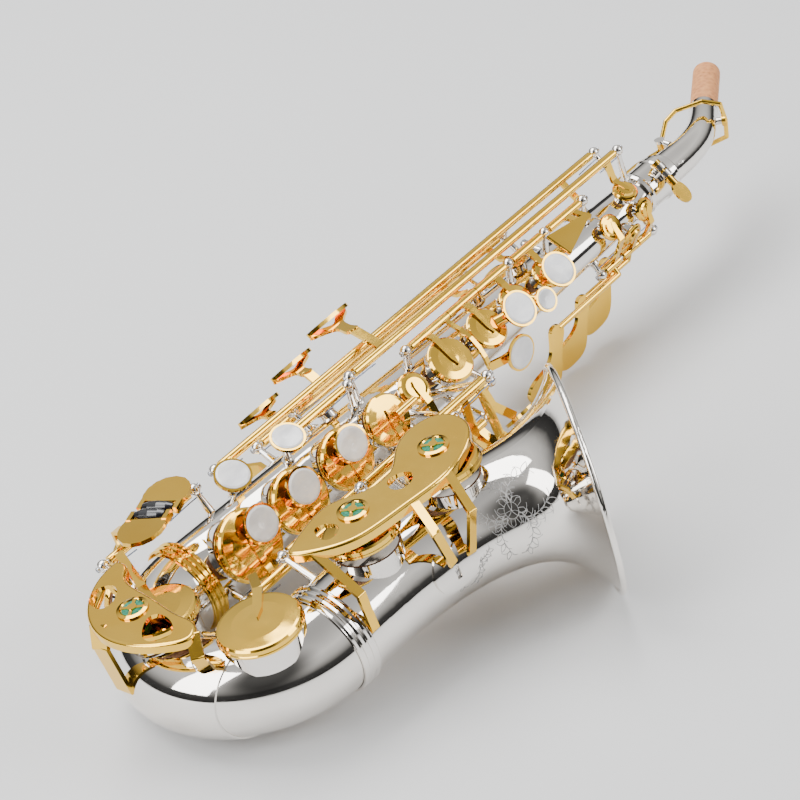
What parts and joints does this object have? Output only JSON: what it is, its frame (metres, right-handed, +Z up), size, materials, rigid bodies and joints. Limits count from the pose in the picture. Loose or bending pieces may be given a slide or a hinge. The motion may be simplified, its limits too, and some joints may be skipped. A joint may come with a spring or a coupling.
{
  "type": "curved soprano saxophone",
  "caption": "Curved soprano saxophone with silver body, gold keywork, pearl touches and corked neck, lying on its left side.",
  "frame": {"origin": "middle of the box footprint, on the floor it lies on", "axes": "+X along the body tube towards the neck, -Y towards the bell, +Z up"},
  "size_m": [0.474, 0.196, 0.0936],
  "materials": {
    "silver_body": "bright plated, mirror polish",
    "gold_lacquer": "polished brass under clear lacquer",
    "steel": "polished rod",
    "pearl": "pearly gloss",
    "roller": "gloss",
    "thumb_rest": "gloss",
    "felt": "felt",
    "cork": "smooth cork"
  },
  "bodies": {
    "instrument": {"body_tube": "silver_body", "bow": "silver_body", "bell": "silver_body", "body_ferrule": "gold_lacquer", "bell_ferrule": "silver_body", "bow_guard_plate": "silver_body", "posts": "silver_body", "pivot_rods": "steel", "neck_receiver": "silver_body", "bell_key_guard": "gold_lacquer", "guard_foot": "silver_body", "bow_key_guard": "gold_lacquer", "e_flat_guard": "gold_lacquer", "guard_bumpers": "gold_lacquer", "guard_felts": "felt", "bell_brace": "silver_body", "strap_ring": "silver_body", "thumb_hook": "gold_lacquer", "thumb_rest": "thumb_rest"},
    "neck": {"neck_tube": "silver_body", "neck_cork": "cork"},
    "neck_screw": {"neck_screw": "gold_lacquer"},
    "neck_octave_key": {"neck_octave_key": "gold_lacquer"},
    "octave_key": {"octave_key": "gold_lacquer"},
    "d_key": {"d_key": "gold_lacquer", "d_pearl": "pearl"},
    "e_key": {"e_key": "gold_lacquer", "e_pearl": "pearl"},
    "f_key": {"f_key": "gold_lacquer", "f_pearl": "pearl"},
    "f_sharp_key": {"f_sharp_key": "gold_lacquer"},
    "g_key": {"g_key": "gold_lacquer", "g_pearl": "pearl"},
    "a_key": {"a_key": "gold_lacquer", "a_pearl": "pearl"},
    "bis_key": {"bis_key": "gold_lacquer", "bis_pearl": "pearl"},
    "b_key": {"b_key": "gold_lacquer", "b_pearl": "pearl"},
    "g_sharp_key": {"g_sharp_key": "gold_lacquer", "g_sharp_pearl": "pearl"},
    "high_e_key": {"high_e_key": "gold_lacquer"},
    "side_c_key": {"side_c_key": "gold_lacquer"},
    "side_b_flat_key": {"side_b_flat_key": "gold_lacquer"},
    "high_f_sharp_key": {"high_f_sharp_key": "gold_lacquer", "high_f_sharp_pearl": "pearl"},
    "alternate_f_sharp_key": {"alternate_f_sharp_key": "gold_lacquer", "alternate_f_sharp_pearl": "pearl"},
    "palm_d_key": {"palm_d_key": "gold_lacquer"},
    "palm_e_flat_key": {"palm_e_flat_key": "gold_lacquer"},
    "palm_f_key": {"palm_f_key": "gold_lacquer"},
    "front_f_key": {"front_f_key": "gold_lacquer"},
    "low_b_flat_key": {"low_b_flat_key": "gold_lacquer"},
    "low_b_key": {"low_b_key": "gold_lacquer"},
    "low_c_sharp_key": {"low_c_sharp_key": "gold_lacquer"},
    "low_c_sharp_lever": {"low_c_sharp_lever": "gold_lacquer"},
    "low_c_key": {"low_c_key": "gold_lacquer"},
    "low_c_roller": {"low_c_roller": "roller"},
    "e_flat_key": {"e_flat_key": "gold_lacquer"},
    "e_flat_roller": {"e_flat_roller": "roller"}
  },
  "joints": [
    {"name": "d_turn", "type": "hinge", "parent": "instrument", "child": "d_key", "pos_m": [-0.15241, 0.02355, 0.02159], "axis": [-0.9933, 0, -0.1152], "range_deg": [0, 8.5], "stiffness_Nm_per_rad": 0.02, "springref_deg": -28.65},
    {"name": "e_turn", "type": "hinge", "parent": "instrument", "child": "e_key", "pos_m": [-0.1238, 0.02355, 0.0249], "axis": [-0.9933, 0, -0.1152], "range_deg": [0, 8.5], "stiffness_Nm_per_rad": 0.02, "springref_deg": -28.65},
    {"name": "f_turn", "type": "hinge", "parent": "instrument", "child": "f_key", "pos_m": [-0.09464, 0.02355, 0.02828], "axis": [-0.9933, 0, -0.1152], "range_deg": [0, 8.5], "stiffness_Nm_per_rad": 0.02, "springref_deg": -28.65},
    {"name": "f_sharp_turn", "type": "hinge", "parent": "instrument", "child": "f_sharp_key", "pos_m": [-0.07011, 0.02355, 0.03113], "axis": [-0.9933, 0, -0.1152], "range_deg": [0, 8.5], "stiffness_Nm_per_rad": 0.02, "springref_deg": -28.65},
    {"name": "g_turn", "type": "hinge", "parent": "instrument", "child": "g_key", "pos_m": [-0.02429, 0.04822, 0.06012], "axis": [0.9933, 0, 0.1152], "range_deg": [0, 8], "stiffness_Nm_per_rad": 0.02, "springref_deg": -28.65},
    {"name": "a_turn", "type": "hinge", "parent": "instrument", "child": "a_key", "pos_m": [-0.00264, 0.04822, 0.06263], "axis": [0.9933, 0, 0.1152], "range_deg": [0, 8], "stiffness_Nm_per_rad": 0.02, "springref_deg": -28.65},
    {"name": "bis_turn", "type": "hinge", "parent": "instrument", "child": "bis_key", "pos_m": [0.01683, 0.04822, 0.06488], "axis": [0.9933, 0, 0.1152], "range_deg": [0, 8], "stiffness_Nm_per_rad": 0.02, "springref_deg": -28.65},
    {"name": "b_turn", "type": "hinge", "parent": "instrument", "child": "b_key", "pos_m": [0.04216, 0.04822, 0.06782], "axis": [0.9933, 0, 0.1152], "range_deg": [0, 8], "stiffness_Nm_per_rad": 0.02, "springref_deg": -28.65},
    {"name": "g_sharp_turn", "type": "hinge", "parent": "instrument", "child": "g_sharp_key", "pos_m": [-0.03467, 0.02514, 0.03505], "axis": [0.9933, 0, 0.1152], "range_deg": [0, 9], "stiffness_Nm_per_rad": 0.02, "springref_deg": -28.65},
    {"name": "high_e_turn", "type": "hinge", "parent": "instrument", "child": "high_e_key", "pos_m": [0.02414, 0.0535, 0.07049], "axis": [-0.9933, 0, -0.1152], "range_deg": [0, 9], "stiffness_Nm_per_rad": 0.02, "springref_deg": -28.65},
    {"name": "side_c_turn", "type": "hinge", "parent": "instrument", "child": "side_c_key", "pos_m": [-0.01755, 0.07079, 0.05493], "axis": [-0.9933, 0, -0.1152], "range_deg": [0, 9], "stiffness_Nm_per_rad": 0.02, "springref_deg": -28.65},
    {"name": "side_b_flat_turn", "type": "hinge", "parent": "instrument", "child": "side_b_flat_key", "pos_m": [-0.03968, 0.07419, 0.04609], "axis": [-0.9933, 0, -0.1152], "range_deg": [0, 9], "stiffness_Nm_per_rad": 0.02, "springref_deg": -28.65},
    {"name": "high_f_sharp_turn", "type": "hinge", "parent": "instrument", "child": "high_f_sharp_key", "pos_m": [-0.00903, 0.06779, 0.06133], "axis": [0.9933, 0, 0.1152], "range_deg": [0, 9], "stiffness_Nm_per_rad": 0.02, "springref_deg": -28.65},
    {"name": "alternate_f_sharp_turn", "type": "hinge", "parent": "instrument", "child": "alternate_f_sharp_key", "pos_m": [-0.09195, 0.05145, 0.05585], "axis": [0.9933, 0, 0.1152], "range_deg": [0, 8], "stiffness_Nm_per_rad": 0.02, "springref_deg": -28.65},
    {"name": "palm_d_turn", "type": "hinge", "parent": "instrument", "child": "palm_d_key", "pos_m": [0.09077, 0.03937, 0.0376], "axis": [0.9933, 0, 0.1152], "range_deg": [0, 6], "stiffness_Nm_per_rad": 0.02, "springref_deg": -28.65},
    {"name": "palm_e_flat_turn", "type": "hinge", "parent": "instrument", "child": "palm_e_flat_key", "pos_m": [0.10408, 0.03937, 0.03914], "axis": [0.9933, 0, 0.1152], "range_deg": [0, 6], "stiffness_Nm_per_rad": 0.02, "springref_deg": -28.65},
    {"name": "palm_f_turn", "type": "hinge", "parent": "instrument", "child": "palm_f_key", "pos_m": [0.11461, 0.03937, 0.04036], "axis": [0.9933, 0, 0.1152], "range_deg": [0, 6], "stiffness_Nm_per_rad": 0.02, "springref_deg": -28.65},
    {"name": "front_f_turn", "type": "hinge", "parent": "instrument", "child": "front_f_key", "pos_m": [0.06918, 0.04822, 0.07095], "axis": [0.9933, 0, 0.1152], "range_deg": [0, 6], "stiffness_Nm_per_rad": 0.02, "springref_deg": -28.65},
    {"name": "low_b_flat_turn", "type": "hinge", "parent": "instrument", "child": "low_b_flat_key", "pos_m": [-0.07956, 0.00225, 0.05836], "axis": [0.9933, 0, 0.1152], "range_deg": [0, 5], "stiffness_Nm_per_rad": 0.02, "springref_deg": -28.65},
    {"name": "low_b_turn", "type": "hinge", "parent": "instrument", "child": "low_b_key", "pos_m": [-0.09927, 0.00763, 0.05038], "axis": [0.9933, 0, 0.1152], "range_deg": [0, 5], "stiffness_Nm_per_rad": 0.02, "springref_deg": -28.65},
    {"name": "low_c_sharp_turn", "type": "hinge", "parent": "instrument", "child": "low_c_sharp_key", "pos_m": [-0.11556, 0.00975, 0.04064], "axis": [-0.9933, 0, -0.1152], "range_deg": [0, 5], "stiffness_Nm_per_rad": 0.02, "springref_deg": -28.65},
    {"name": "low_c_sharp_lever_turn", "type": "hinge", "parent": "instrument", "child": "low_c_sharp_lever", "pos_m": [-0.04343, 0.01721, 0.02635], "axis": [0.9933, 0, 0.1152], "range_deg": [0, 5], "stiffness_Nm_per_rad": 0.02, "springref_deg": -28.65},
    {"name": "low_c_turn", "type": "hinge", "parent": "instrument", "child": "low_c_key", "pos_m": [-0.18842, 0.06617, 0.04133], "axis": [0.9933, 0, 0.1152], "range_deg": [0, 3.4], "stiffness_Nm_per_rad": 0.02, "springref_deg": -28.65},
    {"name": "e_flat_turn", "type": "hinge", "parent": "instrument", "child": "e_flat_key", "pos_m": [-0.16637, 0.06617, 0.04389], "axis": [0.9933, 0, 0.1152], "range_deg": [0, 7], "stiffness_Nm_per_rad": 0.02, "springref_deg": -28.65},
    {"name": "low_c_roller_spin", "type": "hinge", "parent": "low_c_key", "child": "low_c_roller", "pos_m": [-0.1813, 0.05411, 0.0585], "axis": [0.3777, -0.9031, 0.2041], "continuous": true},
    {"name": "e_flat_roller_spin", "type": "hinge", "parent": "e_flat_key", "child": "e_flat_roller", "pos_m": [-0.17572, 0.05554, 0.05813], "axis": [0.3839, -0.911, 0.1506], "continuous": true},
    {"name": "octave_turn", "type": "hinge", "parent": "instrument", "child": "octave_key", "pos_m": [0.06499, 0.06688, 0.0463], "axis": [-0.1144, 0.1149, 0.9868], "range_deg": [0, 2.5], "stiffness_Nm_per_rad": 0.02, "springref_deg": -28.65},
    {"name": "neck_octave_turn", "type": "hinge", "parent": "neck", "child": "neck_octave_key", "pos_m": [0.16228, 0.06221, 0.05813], "axis": [0.1144, -0.1149, -0.9868], "range_deg": [0, 6.2], "stiffness_Nm_per_rad": 0.02, "springref_deg": -28.65},
    {"name": "neck_slide", "type": "slide", "parent": "instrument", "child": "neck", "axis": [0.9933, 0, 0.1152], "range_m": [0, 0.02]},
    {"name": "neck_screw_turn", "type": "hinge", "parent": "instrument", "child": "neck_screw", "pos_m": [0.1342, 0.04117, 0.06587], "axis": [-0.0762, 0.7501, 0.6569], "continuous": true}
  ],
  "couplings": [
    {"joint": "f_sharp_turn", "follows": "f_turn", "ratio": 1},
    {"joint": "low_c_sharp_turn", "follows": "low_c_sharp_lever_turn", "ratio": 1},
    {"joint": "neck_octave_turn", "follows": "octave_turn", "ratio": 2.44}
  ]
}
